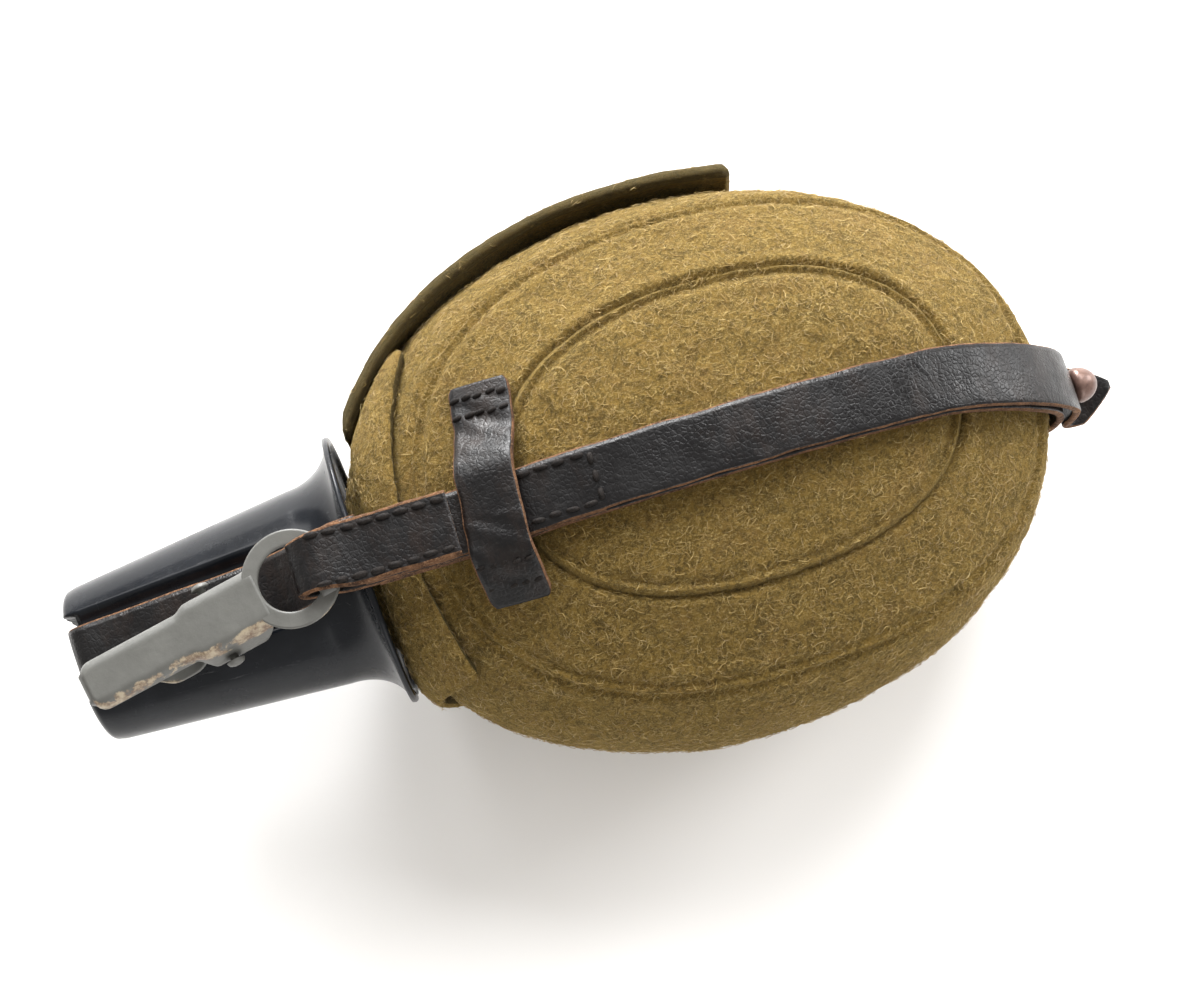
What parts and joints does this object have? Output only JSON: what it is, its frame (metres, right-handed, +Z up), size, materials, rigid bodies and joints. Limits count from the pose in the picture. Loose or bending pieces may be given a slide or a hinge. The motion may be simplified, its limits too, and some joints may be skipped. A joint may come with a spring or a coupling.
{
  "type": "field canteen with cup",
  "caption": "Oval metal canteen in a stitched felt cover, with a drinking cup over its neck, a leather harness and a snap hook.",
  "frame": {"origin": "middle of the canteen's footprint, on the level it lies on", "axes": "+X from the cup to the base along the canteen, +Y to the side with the closing flap, +Z up through the back with the snap hook"},
  "size_m": [0.2716, 0.1462, 0.0981],
  "materials": {
    "felt": "rough woollen felt",
    "leather": "worn satin, grained",
    "cup_plastic": "polished, scratched",
    "cap_plastic": "moulded",
    "hook_paint": "grey paint worn at the edges",
    "stud_paint": "brown lacquer",
    "aluminium": "dull",
    "steel": "dull grey",
    "rubber": "matt"
  },
  "bodies": {
    "canteen": {"flask_body": "aluminium", "neck_thread": "aluminium", "back_oval_panel": "felt", "back_ring_panel": "felt", "front_panel": "felt", "side_band": "felt", "shoulder_collar": "felt", "press_stud_post_1": "steel", "press_stud_post_2": "steel", "press_stud_post_3": "steel", "harness_strap": "leather", "harness_tail": "leather", "tail_keeper": "leather", "buckle_frame": "steel", "hook_loop": "leather", "back_strap": "leather", "base_stud": "stud_paint", "back_keeper": "leather", "front_keeper": "leather"},
    "cup": {"drinking_cup": "cup_plastic", "cup_strap": "leather"},
    "cap_seal": {"cap_gasket": "rubber"},
    "screw_cap": {"screw_cap": "cap_plastic"},
    "snap_hook": {"snap_hook_body": "hook_paint", "gate_pin": "hook_paint", "gate_spring": "steel"},
    "snap_gate": {"snap_gate": "hook_paint"},
    "buckle_prong": {"buckle_prong": "steel"},
    "buckle_roller": {"buckle_roller": "steel"},
    "side_flap": {"closing_flap": "felt", "press_stud_cap_1": "steel", "press_stud_cap_2": "steel", "press_stud_cap_3": "steel"}
  },
  "joints": [
    {"name": "cup_draw", "type": "slide", "parent": "canteen", "child": "cup", "axis": [-0.9747, -0.0426, -0.2195], "range_m": [0, 0.09]},
    {"name": "cap_turn", "type": "hinge", "parent": "cap_seal", "child": "screw_cap", "pos_m": [-0.07708, -0.00315, 0.04748], "axis": [-1, 0, 0], "range_deg": [0, 1080]},
    {"name": "cap_rise", "type": "slide", "parent": "canteen", "child": "cap_seal", "axis": [-1, 0, 0], "range_m": [0, 0.0119]},
    {"name": "hook_swing", "type": "hinge", "parent": "canteen", "child": "snap_hook", "pos_m": [-0.06968, -0.00735, 0.09008], "axis": [-0.2233, 0.9748, 0], "range_deg": [0, 110]},
    {"name": "gate_press", "type": "hinge", "parent": "snap_hook", "child": "snap_gate", "pos_m": [-0.09628, -0.01344, 0.08176], "axis": [-0.2233, 0.9748, 0], "range_deg": [0, 8], "stiffness_Nm_per_rad": 0.05, "springref_deg": -11.46},
    {"name": "prong_swing", "type": "hinge", "parent": "canteen", "child": "buckle_prong", "pos_m": [-0.03108, -0.00735, 0.00783], "axis": [0, -1, 0], "range_deg": [0, 100]},
    {"name": "roller_spin", "type": "hinge", "parent": "canteen", "child": "buckle_roller", "pos_m": [-0.04708, -0.00735, 0.00783], "axis": [0, 1, 0], "continuous": true},
    {"name": "flap_open", "type": "hinge", "parent": "canteen", "child": "side_flap", "pos_m": [-0.00008, 0.04329, 0.03148], "axis": [-0.9435, -0.3314, 0], "range_deg": [0, 30]}
  ],
  "couplings": [
    {"joint": "cap_turn", "follows": "cap_rise", "rad_per_m": 1570.8}
  ]
}
